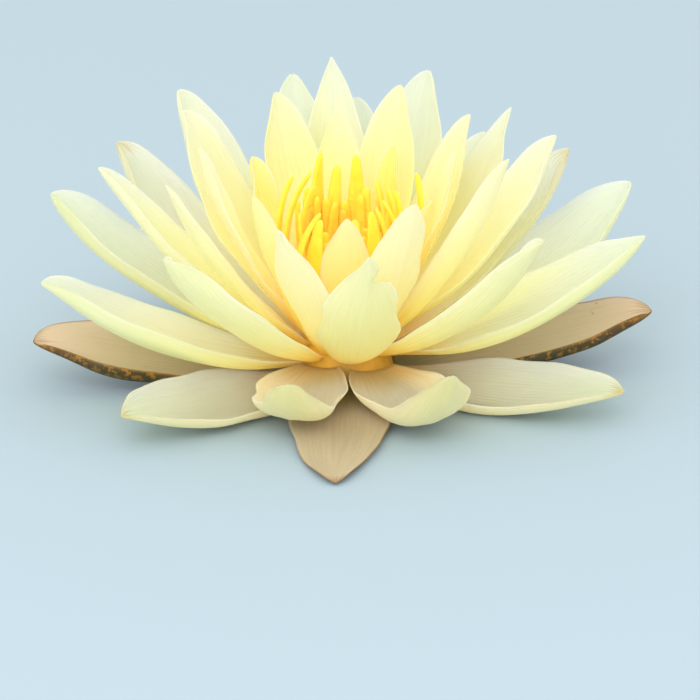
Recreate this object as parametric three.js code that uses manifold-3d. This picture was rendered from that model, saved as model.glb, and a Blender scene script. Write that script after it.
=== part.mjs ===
// A yellow water lily in full bloom, picked just below its receptacle and resting on its sepals.
//
// Units are millimetres and +Z is up. The origin is the middle of the flat cut scar under the
// receptacle, the flower's axis is Z and its front faces -Y. Azimuths run anticlockwise from +X.
//
// Four sepals and forty-two petals stand in rising rings on the wall of a squat receptacle. A crown
// of strap-shaped stamens stands on its shoulder, and the stigma disc lies inside that crown.

import * as THREE from 'three';
import { mergeVertices } from 'three/addons/utils/BufferGeometryUtils.js';
import Module from 'manifold-3d';

const wasm = await Module();
wasm.setup();

// ---------------------------------------------------------------- driving dimensions

const BLADE_THICKNESS = 0.7;
const SEAT_CLEARANCE = 0.5; // between a piece and what it is seated on

// The receptacle is turned about Z: a cut scar, a wide belly and a narrower shoulder.
const SCAR_RADIUS = 5;
const BELLY = { radius: 12.5, underside: 1.4, height: 4 };
const SHOULDER = { radius: 9, height: 16 };
const RECEPTACLE_SIDES = 32;

// The stigma disc is a shallow dish with a ray for each carpel and a knob in the middle.
const STIGMA = {
  radius: 4.9,
  base: 0.7,
  rim: 2.2,
  rays: 12,
  rayHeight: 0.3,
  rayPoint: 0.4,
  knobHeight: 1.2,
  knobRadius: 1.1,
};

// Stamens are flat straps that stand in three rings on a collar. Lean is a strap's angle above the
// horizontal half way up, inward the degrees by which its tip stands steeper and its root less
// steep, sway its drift to the side and twist the degrees by which its flat side turns.
const COLLAR = { inner: 5.4, outer: 8.7, height: 1.6 };
const STAMEN_THICKNESS = 1.3;
const STAMEN_TIP_WIDTH = 2;
const STAMEN_SINK = 1; // how deep a root reaches into the collar
const STAMENS = [
  {
    radius: 7.7,
    straps: [
      { azimuth: 30, length: 30, width: 4.2, lean: 84, inward: 8, sway: 0.1, twist: -10 },
      { azimuth: 75, length: 40, width: 6.6, lean: 85, inward: 9, sway: 0, twist: -5 },
      { azimuth: 110, length: 37, width: 5.6, lean: 85, inward: 7, sway: -0.1, twist: 10 },
      { azimuth: 131, length: 41, width: 8, lean: 84, inward: 11, sway: -0.1, twist: -10 },
      { azimuth: 150, length: 33, width: 5.2, lean: 84, inward: 8, sway: 0, twist: 10 },
      { azimuth: 166, length: 31, width: 5, lean: 82, inward: 12, sway: 0.1, twist: -12 },
      { azimuth: 194, length: 43, width: 4.2, lean: 80, inward: 34, sway: 0.2, twist: 35 },
      { azimuth: 198, length: 44, width: 5.2, lean: 86, inward: 38, sway: 0.2, twist: 30 },
      { azimuth: 212, length: 30, width: 5.2, lean: 80, inward: 14, sway: -0.1, twist: 10 },
      { azimuth: 234, length: 33, width: 7.6, lean: 73, inward: 16, sway: 0.3, twist: 5 },
      { azimuth: 253, length: 24, width: 4.6, lean: 78, inward: 10, sway: -0.1, twist: 8 },
      { azimuth: 271, length: 25, width: 5, lean: 76, inward: 12, sway: 0.1, twist: -6 },
      { azimuth: 291, length: 26, width: 4.6, lean: 78, inward: 12, sway: 0, twist: 10 },
      { azimuth: 306, length: 34, width: 7.2, lean: 76, inward: 12, sway: -0.2, twist: -5 },
      { azimuth: 329, length: 34, width: 4.8, lean: 82, inward: 30, sway: -0.3, twist: -20 },
      { azimuth: 340, length: 30, width: 4.8, lean: 82, inward: 14, sway: 0, twist: 12 },
      { azimuth: 352, length: 36, width: 3.9, lean: 81, inward: 23, sway: -0.1, twist: -30 },
      { azimuth: 353, length: 41, width: 3.7, lean: 75, inward: 31, sway: 0.2, twist: -35 },
    ],
  },
  {
    radius: 6.9,
    straps: [
      { azimuth: 8, length: 34, width: 3.4, lean: 82, inward: 28, sway: 0.2, twist: -15 },
      { azimuth: 35, length: 28, width: 4.4, lean: 84, inward: 12, sway: 0, twist: 12 },
      { azimuth: 62, length: 30, width: 3.6, lean: 87, inward: 4, sway: 0, twist: -10 },
      { azimuth: 65, length: 32, width: 6, lean: 85, inward: 7, sway: -0.1, twist: 0 },
      { azimuth: 90, length: 28, width: 4.8, lean: 85, inward: 6, sway: 0, twist: -8 },
      { azimuth: 112, length: 29, width: 4.8, lean: 85, inward: 8, sway: 0.1, twist: 8 },
      { azimuth: 135, length: 30, width: 5, lean: 84, inward: 8, sway: 0, twist: -10 },
      { azimuth: 155, length: 28, width: 3.8, lean: 83, inward: 12, sway: -0.1, twist: 10 },
      { azimuth: 170, length: 28, width: 4.8, lean: 84, inward: 12, sway: 0, twist: 10 },
      { azimuth: 185, length: 36, width: 4.8, lean: 88, inward: 25, sway: 0, twist: 30 },
      { azimuth: 215, length: 36, width: 4.6, lean: 78, inward: 40, sway: 0.5, twist: 20 },
      { azimuth: 235, length: 26, width: 4.6, lean: 82, inward: 14, sway: 0.1, twist: -10 },
      { azimuth: 262, length: 22, width: 3.6, lean: 80, inward: 16, sway: 0, twist: -12 },
      { azimuth: 290, length: 26, width: 4.6, lean: 82, inward: 14, sway: -0.1, twist: 8 },
      { azimuth: 320, length: 25, width: 3.6, lean: 80, inward: 18, sway: -0.1, twist: 10 },
      { azimuth: 344, length: 36, width: 4.6, lean: 83, inward: 39, sway: -0.2, twist: -25 },
    ],
  },
  {
    radius: 6.2,
    straps: [
      { azimuth: 0, length: 23, width: 3.8, lean: 84, inward: 18, sway: 0, twist: 12 },
      { azimuth: 12, length: 35, width: 3.8, lean: 85, inward: 22, sway: 0.3, twist: 20 },
      { azimuth: 50, length: 22, width: 3, lean: 88, inward: 6, sway: -0.1, twist: -10 },
      { azimuth: 93, length: 26, width: 3.4, lean: 85, inward: 9, sway: 0, twist: 15 },
      { azimuth: 117, length: 28, width: 5, lean: 86, inward: 7, sway: -0.1, twist: -10 },
      { azimuth: 158, length: 25, width: 4, lean: 86, inward: 8, sway: 0, twist: 8 },
      { azimuth: 200, length: 23, width: 3.2, lean: 84, inward: 16, sway: 0.1, twist: -8 },
      { azimuth: 240, length: 22, width: 3.2, lean: 82, inward: 18, sway: 0.2, twist: 8 },
      { azimuth: 265, length: 24, width: 4, lean: 82, inward: 14, sway: 0, twist: -8 },
      { azimuth: 286, length: 32, width: 4.2, lean: 75, inward: 18, sway: -0.1, twist: 10 },
      { azimuth: 330, length: 25, width: 4, lean: 84, inward: 12, sway: 0, twist: -8 },
    ],
  },
];

// What the blades of each ring have in common.
//   root    width where the blade leaves the receptacle
//   arch    degrees by which the blade curves upward from its middle to its tip
//   hook    further degrees by which the tip alone turns up
//   cup     degrees by which a margin stands up from the middle line, spread evenly
//   curl    further degrees that only the margins take
//   widest  share of the length at which the blade is widest
//   full    how long the blade stays wide towards the tip
//   point   0.5 for a round tip, 1 for a sharp one
const RINGS = {
  sepal: {
    width: 28, root: 9, arch: 6, cup: 20, curl: 14,
    widest: 0.42, full: 2.1, point: 0.8, colour: '#cdb083',
  },
  low: {
    width: 27, root: 7, arch: 16, cup: 40, curl: 26,
    widest: 0.48, full: 2.3, point: 0.65, colour: '#e2ddac',
  },
  outer: {
    width: 29, root: 6, arch: 21, cup: 46, curl: 20,
    widest: 0.5, full: 2.3, point: 0.65, colour: '#f3f3c4',
  },
  middle: {
    width: 23, root: 5, arch: 16, cup: 42, curl: 18,
    widest: 0.5, full: 2.3, point: 0.65, colour: '#fbf5b4',
  },
  inner: {
    width: 17, root: 4.2, arch: 10, cup: 36, curl: 14,
    widest: 0.52, full: 2.4, point: 0.65, colour: '#ffef7e',
  },
};

// Each blade: its azimuth, the height of its seat on the receptacle, its length and its rise above
// the horizontal. Where a blade is not like its ring, it gives its own values: veer turns it and
// bend curves it anticlockwise, roll lifts its anticlockwise margin, and curlOn and curlBack are
// the curls of the anticlockwise and clockwise margins.
const BLADES = {
  sepal: {
    sepal_left: {
      azimuth: 180, seat: 2.4, length: 68.5, rise: 9, arch: 12,
      veer: 7, bend: 6, roll: -20, point: 0.56, full: 2.5,
    },
    sepal_front: {
      azimuth: 268, seat: 2.1, length: 66.5, rise: -0.7, arch: 3,
      cup: 5, width: 26.5, widest: 0.36, full: 1.3, point: 0.6,
    },
    sepal_right: {
      azimuth: 12, seat: 2.4, length: 69, rise: 11, arch: 15.5,
      veer: -7, bend: -12, roll: 16, point: 0.56, full: 2.5,
    },
    sepal_back: { azimuth: 93, seat: 2.5, length: 68, rise: 3, arch: 11, cup: 10 },
  },
  low: {
    petal_low_1: { azimuth: 332, seat: 3.4, length: 67, rise: 5, roll: 14, cup: 36, root: 7.5 },
    petal_low_2: { azimuth: 55, seat: 4.2, length: 70, rise: 13 },
    petal_low_3: { azimuth: 133, seat: 4.2, length: 70, rise: 14 },
    petal_low_4: { azimuth: 224, seat: 3.5, length: 65.5, rise: 5, roll: -16, cup: 36, root: 8 },
    petal_low_5: {
      azimuth: 240.5, seat: 6.6, length: 54.5, rise: -8, arch: 2, hook: 92, veer: 19.5, bend: 7, roll: -5,
      width: 25, root: 10, widest: 0.36, full: 2.6, point: 0.5, cup: 20, curlBack: 50, curlOn: 70,
    },
    petal_low_6: {
      azimuth: 303.2, seat: 5.7, length: 60, rise: -6.8, arch: 2, hook: 98, veer: -11, roll: 7,
      width: 28, root: 12, widest: 0.36, full: 2.6, point: 0.5, cup: 20, curlBack: 90, curlOn: 50,
    },
  },
  outer: {
    petal_outer_1: {
      azimuth: 17.7, seat: 5.4, length: 78, rise: 31.5, roll: 14,
      curlBack: -15, curlOn: -25,
    },
    petal_outer_2: {
      azimuth: 27.5, seat: 7.7, length: 71, rise: 40, roll: -2,
      width: 26, cup: 42, curlOn: 8,
    },
    petal_outer_3: { azimuth: 60, seat: 6.6, length: 74, rise: 27, width: 25 },
    petal_outer_4: { azimuth: 119, seat: 6.6, length: 74, rise: 27, width: 25 },
    petal_outer_5: {
      azimuth: 148.7, seat: 9.3, length: 73.5, rise: 36.5, roll: 4,
      width: 26, curlOn: 30, point: 0.5,
    },
    petal_outer_6: {
      azimuth: 166.7, seat: 7.4, length: 77, rise: 29, roll: -4,
      point: 0.5, curlBack: -15,
    },
    petal_outer_7: { azimuth: 200, seat: 5.8, length: 76, rise: 23, roll: -7, point: 0.55, root: 7.5 },
    petal_outer_8: { azimuth: 226, seat: 8.1, length: 67, rise: 37, roll: -6, root: 7.5 },
    petal_outer_9: {
      azimuth: 276.6, seat: 8.4, length: 60, rise: 46, arch: 28,
      width: 24, widest: 0.45, point: 0.85, root: 10,
    },
    petal_outer_10: { azimuth: 325, seat: 9, length: 64, rise: 39, arch: 23, roll: 6, root: 6.8 },
    petal_outer_11: {
      azimuth: 350, seat: 7.9, length: 76, rise: 28, arch: 24,
      roll: 14, point: 0.85, curlOn: 30, width: 30, root: 6,
    },
  },
  middle: {
    petal_middle_1: { azimuth: 8.8, seat: 11.5, length: 68, rise: 49.5, roll: 14, curlOn: 22, width: 21 },
    petal_middle_2: {
      azimuth: 35, seat: 10.5, length: 68, rise: 52.5, roll: 3,
      width: 16, point: 0.9, cup: 36, curlBack: -25, root: 4,
    },
    petal_middle_3: { azimuth: 49, seat: 9, length: 63, rise: 45.5, roll: 0, width: 21, root: 4 },
    petal_middle_4: {
      azimuth: 66.4, seat: 10.7, length: 72, rise: 53.5, width: 22,
      roll: -4, point: 0.55,
    },
    petal_middle_5: {
      azimuth: 87.5, seat: 8.9, length: 68.5, rise: 46, width: 21,
      point: 0.55, curlOn: 5,
    },
    petal_middle_6: { azimuth: 94, seat: 12.1, length: 71, rise: 59.5, width: 20, point: 1 },
    petal_middle_7: { azimuth: 105, seat: 10.5, length: 71, rise: 52, width: 19, roll: -6, point: 0.55 },
    petal_middle_8: { azimuth: 141.8, seat: 10.8, length: 72, rise: 52.5, roll: -4, point: 0.5 },
    petal_middle_9: {
      azimuth: 159.7, seat: 12.4, length: 65, rise: 58.5, roll: -6,
      curlOn: -25, point: 0.52,
    },
    petal_middle_10: { azimuth: 185, seat: 9.2, length: 72, rise: 44, roll: -8 },
    petal_middle_11: { azimuth: 190, seat: 13.2, length: 58, rise: 62, width: 14, roll: -6, curlOn: 5 },
    petal_middle_12: { azimuth: 201.6, seat: 10.8, length: 60.5, rise: 51.5, width: 14, roll: -6 },
    petal_middle_13: {
      azimuth: 248.5, seat: 10.2, length: 55, rise: 52.5, width: 20,
      roll: -25, root: 4,
    },
    petal_middle_14: { azimuth: 297.5, seat: 11.1, length: 54, rise: 60.5, width: 18 },
    petal_middle_15: { azimuth: 341, seat: 11.9, length: 62, rise: 57.5, cup: 60, width: 20, curlOn: 5 },
  },
  inner: {
    petal_inner_1: { azimuth: 7, seat: 13.9, length: 50, rise: 68, width: 11.5, roll: 3, curlBack: 5 },
    petal_inner_2: { azimuth: 29.8, seat: 12.8, length: 59, rise: 63.5, roll: 3 },
    petal_inner_3: { azimuth: 45, seat: 14.8, length: 45, rise: 80, width: 13, root: 3.8 },
    petal_inner_4: { azimuth: 63.4, seat: 13.3, length: 61, rise: 69.5, width: 19 },
    petal_inner_5: { azimuth: 98, seat: 15, length: 53, rise: 84, width: 16, point: 0.8 },
    petal_inner_6: { azimuth: 120, seat: 13.3, length: 60, rise: 65, width: 19 },
    petal_inner_7: {
      azimuth: 160.5, seat: 13.6, length: 46, rise: 71, width: 16.5,
      cup: 24, point: 0.5, root: 3.2,
    },
    petal_inner_8: { azimuth: 226, seat: 11.8, length: 50.5, rise: 63.5, width: 11 },
    petal_inner_9: { azimuth: 271, seat: 12.6, length: 43, rise: 67, width: 13.5, point: 0.85 },
    petal_inner_10: {
      azimuth: 331, seat: 15.1, length: 40, rise: 67.5, width: 11.5,
      curlOn: 5, root: 3.4, point: 0.5, cup: 20,
    },
  },
};

// ---------------------------------------------------------------- helpers

const radians = THREE.MathUtils.degToRad;
const smooth = THREE.MathUtils.smoothstep;

function material(colour, roughness) {
  return new THREE.MeshStandardMaterial({ color: colour, roughness, metalness: 0 });
}

function piece(name, geometry, colour, roughness = 0.55) {
  geometry.computeVertexNormals();
  const mesh = new THREE.Mesh(geometry, material(colour, roughness));
  mesh.name = name;
  return mesh;
}

function indexedGeometry(points, faces) {
  const geometry = new THREE.BufferGeometry();
  geometry.setAttribute('position', new THREE.Float32BufferAttribute(points.flatMap((p) => p.toArray()), 3));
  geometry.setIndex(faces.flat());
  return geometry;
}

// ---------------------------------------------------------------- petals and sepals

// Rows of points lie across the blade at these shares of its length, closer together at the tip.
const STATIONS = [0, 0.12, 0.27, 0.43, 0.58, 0.72, 0.84, 0.94, 1];
const HALF_COLUMNS = 3;
const COLUMNS = 2 * HALF_COLUMNS + 1;

// The receptacle's wall leans inward from its belly to its shoulder.
function wallRadius(height) {
  const share = (height - BELLY.height) / (SHOULDER.height - BELLY.height);
  return THREE.MathUtils.lerp(BELLY.radius, SHOULDER.radius, Math.max(share, 0));
}

// The way the middle line points at a share u of the length. It leans out at the root, curves
// upward by the arch and at the tip by the hook, and swings sideways by the bend.
function direction(blade, u) {
  const rise = radians(blade.rise + blade.arch * (2 * u - 1) + blade.hook * u ** 3);
  const heading = radians(blade.veer + blade.bend * (2 * u - 1));
  return new THREE.Vector3(
    Math.cos(rise) * Math.cos(heading),
    Math.cos(rise) * Math.sin(heading),
    Math.sin(rise),
  );
}

// The blade widens from its root in a quarter wave and then closes to its tip.
function halfWidth(blade, u) {
  if (u < blade.widest) {
    const opening = Math.sin((Math.PI / 2) * (u / blade.widest));
    return THREE.MathUtils.lerp(blade.root, blade.width, opening) / 2;
  }
  const closing = (u - blade.widest) / (1 - blade.widest);
  return (blade.width / 2) * (1 - closing ** blade.full) ** blade.point;
}

// One row of points across the blade. From the middle line outward the row tilts up by the cup
// and, near the margin, by the curl of that margin.
function crossRow(blade, u, middle) {
  const along = direction(blade, u);
  const heading = radians(blade.veer + blade.bend * (2 * u - 1));
  const roll = radians(blade.roll) * smooth(u, 0, 0.35);
  const across = new THREE.Vector3(-Math.sin(heading), Math.cos(heading), 0).applyAxisAngle(along, roll);
  const up = along.clone().cross(across);
  const step = halfWidth(blade, u) / HALF_COLUMNS;
  const row = new Array(COLUMNS);
  row[HALF_COLUMNS] = middle.clone();
  for (const [side, curl] of [[-1, blade.curlBack], [1, blade.curlOn]]) {
    const point = middle.clone();
    for (let k = 1; k <= HALF_COLUMNS; k++) {
      const share = (k - 0.5) / HALF_COLUMNS;
      const tilt = radians(blade.cup * share + curl * share ** 3 * smooth(u, -0.2, 0.6));
      point.addScaledVector(across, side * step * Math.cos(tilt));
      point.addScaledVector(up, step * Math.sin(tilt));
      row[HALF_COLUMNS + side * k] = point.clone();
    }
  }
  return row;
}

function bladeRows(blade) {
  const middle = new THREE.Vector3();
  return STATIONS.map((u, i) => {
    if (i > 0) {
      const before = STATIONS[i - 1];
      middle.addScaledVector(direction(blade, (u + before) / 2), blade.length * (u - before));
    }
    return crossRow(blade, u, middle);
  });
}

// The normal of a grid of points, taken from each point's neighbours.
function gridNormal(rows, i, j) {
  const back = rows[Math.max(i - 1, 0)];
  const on = rows[Math.min(i + 1, rows.length - 1)];
  const along = on[j].clone().sub(back[j]);
  const here = i === rows.length - 1 ? back : rows[i];
  const across = here[Math.min(j + 1, COLUMNS - 1)].clone().sub(here[Math.max(j - 1, 0)]);
  return along.cross(across).normalize();
}

// A closed blade: the inner face, the outer face one thickness behind it, and the edge between
// them. Each face closes in one point at the tip, and both are split into triangles alike.
function bladeGeometry(blade) {
  const rows = bladeRows(blade);
  const last = rows.length - 1;
  const inner = rows.slice(0, last).flat();
  inner.push(rows[last][HALF_COLUMNS]);
  const outer = inner.map((point, n) => {
    const i = Math.min(Math.floor(n / COLUMNS), last);
    const j = i === last ? HALF_COLUMNS : n % COLUMNS;
    return point.clone().addScaledVector(gridNormal(rows, i, j), -BLADE_THICKNESS);
  });
  const tip = inner.length - 1;
  const index = (i, j) => (i === last ? tip : i * COLUMNS + j);
  const faces = [];
  const addFace = (a, b, c) => {
    if (a !== b && b !== c && c !== a) {
      faces.push([a, b, c], [a + inner.length, c + inner.length, b + inner.length]);
    }
  };
  const addEdge = (a, b) => faces.push([a, a + inner.length, b + inner.length], [a, b + inner.length, b]);
  for (let i = 0; i < last; i++) {
    for (let j = 0; j < COLUMNS - 1; j++) {
      addFace(index(i, j), index(i + 1, j), index(i + 1, j + 1));
      addFace(index(i, j), index(i + 1, j + 1), index(i, j + 1));
    }
    addEdge(index(i, 0), index(i + 1, 0));
    addEdge(index(i + 1, COLUMNS - 1), index(i, COLUMNS - 1));
  }
  for (let j = 0; j < COLUMNS - 1; j++) {
    addEdge(index(0, j + 1), index(0, j));
  }
  return indexedGeometry([...inner, ...outer], faces);
}

function bladePiece(name, ring, own) {
  const straight = { hook: 0, veer: 0, bend: 0, roll: 0 };
  const blade = { ...straight, curlOn: ring.curl, curlBack: ring.curl, ...ring, ...own };
  const mesh = piece(name, bladeGeometry(blade), blade.colour);
  const azimuth = radians(blade.azimuth);
  const reach = wallRadius(blade.seat) + SEAT_CLEARANCE;
  mesh.position.set(reach * Math.cos(azimuth), reach * Math.sin(azimuth), blade.seat);
  mesh.rotation.z = azimuth;
  return mesh;
}

// ---------------------------------------------------------------- the middle of the flower

// A profile of [radius, height] pairs turned about Z.
function turned(profile, sides) {
  const geometry = new THREE.LatheGeometry(profile.map(([x, y]) => new THREE.Vector2(x, y)), sides);
  geometry.rotateX(Math.PI / 2);
  geometry.deleteAttribute('normal');
  geometry.deleteAttribute('uv');
  return mergeVertices(geometry, 1e-4);
}

function receptacle() {
  const profile = [
    [0, 0],
    [SCAR_RADIUS, 0],
    [BELLY.radius - 0.6, BELLY.underside],
    [BELLY.radius, BELLY.underside + 0.6],
    [BELLY.radius, BELLY.height],
    [SHOULDER.radius, SHOULDER.height],
    [0, SHOULDER.height],
  ];
  return piece('receptacle', turned(profile, RECEPTACLE_SIDES), '#dba82e', 0.6);
}

// The top of the stigma disc rises from its middle to its rim. The rays are ridges on it, and each
// ray ends in a small point on the rim.
function stigmaHeight(share, angle) {
  const ray = Math.cos(STIGMA.rays * angle);
  const dish = THREE.MathUtils.lerp(STIGMA.base, STIGMA.rim, share ** 2);
  const spread = (share * STIGMA.radius) / STIGMA.knobRadius;
  const knob = STIGMA.knobHeight * Math.exp(-(spread ** 2));
  const ridge = STIGMA.rayHeight * Math.sin(Math.PI * share * 0.75) + STIGMA.rayPoint * share ** 8;
  return dish + knob + ridge * ray;
}

function stigmaDisc() {
  const spokes = 4 * STIGMA.rays;
  const shares = [0.2, 0.4, 0.65, 0.85, 1];
  const points = [new THREE.Vector3(0, 0, stigmaHeight(0, 0)), new THREE.Vector3(0, 0, 0)];
  for (let k = 0; k < spokes; k++) {
    const angle = (2 * Math.PI * k) / spokes;
    for (const share of shares) {
      const radius = share * STIGMA.radius;
      const height = stigmaHeight(share, angle);
      points.push(new THREE.Vector3(radius * Math.cos(angle), radius * Math.sin(angle), height));
    }
    points.push(new THREE.Vector3(STIGMA.radius * Math.cos(angle), STIGMA.radius * Math.sin(angle), 0));
  }
  const rowLength = shares.length + 1;
  const index = (k, n) => 2 + (k % spokes) * rowLength + n;
  const faces = [];
  for (let k = 0; k < spokes; k++) {
    faces.push([0, index(k, 0), index(k + 1, 0)]);
    for (let n = 0; n < shares.length; n++) {
      faces.push([index(k, n), index(k, n + 1), index(k + 1, n + 1)]);
      faces.push([index(k, n), index(k + 1, n + 1), index(k + 1, n)]);
    }
    faces.push([1, index(k + 1, shares.length), index(k, shares.length)]);
  }
  const mesh = piece('stigma_disc', indexedGeometry(points, faces), '#f2c632', 0.5);
  mesh.position.z = SHOULDER.height + SEAT_CLEARANCE;
  return mesh;
}

// A strap with a rectangular section. Swell is the share by which it is wider than its tip, and
// ending the share of that width that is left where the tip is rounded off. Its root is at the
// origin and it leans towards +X.
const STRAP_STATIONS = [
  { u: 0, swell: 0.5, ending: 1 },
  { u: 0.18, swell: 0.92, ending: 1 },
  { u: 0.35, swell: 1, ending: 1 },
  { u: 0.5, swell: 0.82, ending: 1 },
  { u: 0.65, swell: 0.48, ending: 1 },
  { u: 0.8, swell: 0.2, ending: 1 },
  { u: 0.94, swell: 0.03, ending: 0.9 },
  { u: 1, swell: 0, ending: 0.4 },
];

function strapGeometry(strap) {
  const riseAt = (u) => radians(strap.lean + strap.inward * (2 * u - 1));
  const middle = new THREE.Vector3();
  const points = [];
  STRAP_STATIONS.forEach(({ u, swell, ending }, i) => {
    if (i > 0) {
      const before = STRAP_STATIONS[i - 1].u;
      const rise = riseAt((u + before) / 2);
      const step = strap.length * (u - before);
      middle.add(new THREE.Vector3(step * Math.cos(rise), step * strap.sway * u, step * Math.sin(rise)));
    }
    const breadth = ending * THREE.MathUtils.lerp(STAMEN_TIP_WIDTH, strap.width, swell);
    const turn = radians(strap.twist * u);
    const across = new THREE.Vector3(Math.sin(turn), Math.cos(turn), 0);
    const inside = new THREE.Vector3(-Math.sin(riseAt(u)), 0, Math.cos(riseAt(u)));
    for (const [side, face] of [[-1, -1], [1, -1], [1, 1], [-1, 1]]) {
      const corner = middle.clone().addScaledVector(across, (side * breadth) / 2);
      points.push(corner.addScaledVector(inside, (face * STAMEN_THICKNESS) / 2));
    }
  });
  const top = points.length - 4;
  const faces = [[0, 3, 2], [0, 2, 1], [top, top + 1, top + 2], [top, top + 2, top + 3]];
  for (let base = 0; base < top; base += 4) {
    for (let n = 0; n < 4; n++) {
      const next = (n + 1) % 4;
      faces.push([base + n, base + next, base + 4 + next], [base + n, base + 4 + next, base + 4 + n]);
    }
  }
  return indexedGeometry(points, faces);
}

function toSolid(geometry) {
  return new wasm.Manifold(new wasm.Mesh({
    numProp: 3,
    vertProperties: new Float32Array(geometry.attributes.position.array),
    triVerts: new Uint32Array(geometry.index.array),
  }));
}

function fromSolid(solid) {
  const mesh = solid.getMesh();
  const geometry = new THREE.BufferGeometry();
  geometry.setAttribute('position', new THREE.BufferAttribute(new Float32Array(mesh.vertProperties), 3));
  geometry.setIndex(new THREE.BufferAttribute(new Uint32Array(mesh.triVerts), 1));
  return geometry;
}

// All stamens of the three rings, joined with the collar they grow from.
function stamens() {
  const collar = turned(
    [
      [COLLAR.inner, 0],
      [COLLAR.outer, 0],
      [COLLAR.outer, COLLAR.height],
      [COLLAR.inner, COLLAR.height],
      [COLLAR.inner, 0],
    ],
    RECEPTACLE_SIDES,
  );
  const solids = [toSolid(collar)];
  for (const ring of STAMENS) {
    for (const strap of ring.straps) {
      const geometry = strapGeometry(strap);
      geometry.translate(ring.radius, 0, COLLAR.height - STAMEN_SINK);
      geometry.rotateZ(radians(strap.azimuth));
      solids.push(toSolid(geometry));
    }
  }
  const mesh = piece('stamens', fromSolid(wasm.Manifold.union(solids)), '#f7cf36', 0.5);
  mesh.position.z = SHOULDER.height + SEAT_CLEARANCE;
  return mesh;
}

// ---------------------------------------------------------------- the flower

const group = new THREE.Group();
group.add(receptacle());
for (const [ringName, blades] of Object.entries(BLADES)) {
  for (const [name, own] of Object.entries(blades)) {
    group.add(bladePiece(name, RINGS[ringName], own));
  }
}
group.add(stamens());
group.add(stigmaDisc());

export default group;
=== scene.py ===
"""A yellow water lily in full bloom, picked below its receptacle and resting on that flat cut."""

import bpy
import numpy as np
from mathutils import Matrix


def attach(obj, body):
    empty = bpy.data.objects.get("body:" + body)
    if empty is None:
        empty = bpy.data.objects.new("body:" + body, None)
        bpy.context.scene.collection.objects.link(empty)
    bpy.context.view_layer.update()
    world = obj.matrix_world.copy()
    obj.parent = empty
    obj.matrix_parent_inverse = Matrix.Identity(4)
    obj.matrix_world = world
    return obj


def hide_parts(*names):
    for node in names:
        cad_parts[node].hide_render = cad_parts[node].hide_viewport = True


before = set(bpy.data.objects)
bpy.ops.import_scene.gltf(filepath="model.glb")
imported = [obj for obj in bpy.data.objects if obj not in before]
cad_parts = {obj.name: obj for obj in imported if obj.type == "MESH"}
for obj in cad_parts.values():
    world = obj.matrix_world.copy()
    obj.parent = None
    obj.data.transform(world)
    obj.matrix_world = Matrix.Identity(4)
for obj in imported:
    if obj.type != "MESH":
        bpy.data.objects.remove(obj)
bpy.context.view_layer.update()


# ---------------------------------------------------------------- receptacle
# The squat fleshy body that carries every sepal, petal and stamen. It was cut through just below,
# so its underside is a flat scar with the open ends of the air canals that ran down the stalk.

MM = 0.001
SCAR_RADIUS = 5
BELLY_RADIUS = 12.5
SHOULDER_RADIUS = 9
BELLY_TOP = 4
SHOULDER_HEIGHT = 16
SCAR_RINGS = 28
WALL_RINGS = 14
RECEPTACLE_SIDES = 96
CANAL_RINGS = ((4, 2.1, 0.85, 0.0), (8, 3.9, 0.4, 0.3))  # how many, how far out, their radius, turn
CANAL_DEPTH = 0.9
CANAL_LEVEL = 0.2  # canals open only in what lies below this height
GOLDEN_SPREAD = (1.0, 0.85, 0.45)  # how far red, green and blue light spread inside golden flesh


def pigment(shade):
    """A colour written as six hex digits, turned into linear light."""
    channels = np.array([int(shade[k : k + 2], 16) for k in (1, 3, 5)]) / 255
    linear = np.where(channels <= 0.04045, channels / 12.92, ((channels + 0.055) / 1.055) ** 2.4)
    return (*linear.tolist(), 1.0)


def grid_quads(rows, columns, closed=False):
    """Four-sided faces between neighbours of a grid of points. A closed grid joins its last column
    to its first."""
    across = columns if closed else columns - 1
    i, j = np.meshgrid(np.arange(rows - 1), np.arange(across), indexing="ij")
    here = i * columns + j
    beside = i * columns + (j + 1) % columns
    return np.stack([here, beside, beside + columns, here + columns], axis=-1).reshape(-1, 4)


def cap(middle, start, sides, flip=False):
    """Triangles from the point numbered middle to each step of the ring of points from start on."""
    k = np.arange(sides)
    here, beside = start + k, start + (k + 1) % sides
    if flip:
        here, beside = beside, here
    return np.stack([np.full(sides, middle), here, beside], axis=-1)


def grown(name, points, faces, skin, solid, slot, **marks):
    """One piece of the flower, from points in millimetres, in place of the plain solid of that
    name. Each mark is three numbers a point that the skin reads."""
    mesh = bpy.data.meshes.new(name)
    mesh.from_pydata((points * MM).tolist(), [], faces)
    for mark, values in marks.items():
        layer = mesh.attributes.new(mark, "FLOAT_VECTOR", "POINT")
        layer.data.foreach_set("vector", np.ascontiguousarray(values, dtype=np.float32).ravel())
    mesh.shade_smooth()
    mesh.materials.append(skin)
    piece = bpy.data.objects.new(name, mesh)
    bpy.context.collection.objects.link(piece)
    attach(piece, "root")
    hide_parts(solid)


def lathe(profile, sides, relief):
    """Turns a profile of radius and height round the axis. It starts and ends on the axis, where it
    closes in one point. relief(x, y, z) gives how far each point is lifted."""
    angle = np.linspace(0, 2 * np.pi, sides, endpoint=False)
    radius, height = np.array(profile[1:-1]).T
    x = radius[:, None] * np.cos(angle)
    y = radius[:, None] * np.sin(angle)
    z = np.broadcast_to(height[:, None], x.shape)
    ring = np.stack([x, y, z], axis=-1).reshape(-1, 3)
    points = np.vstack([ring, [[0, 0, profile[0][1]], [0, 0, profile[-1][1]]]])
    points[:, 2] += relief(*points.T)
    first, last = len(ring), len(ring) + 1
    top = (len(radius) - 1) * sides
    faces = grid_quads(len(radius), sides, closed=True).tolist()
    faces += cap(first, 0, sides, flip=True).tolist() + cap(last, top, sides).tolist()
    return points, faces


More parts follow.
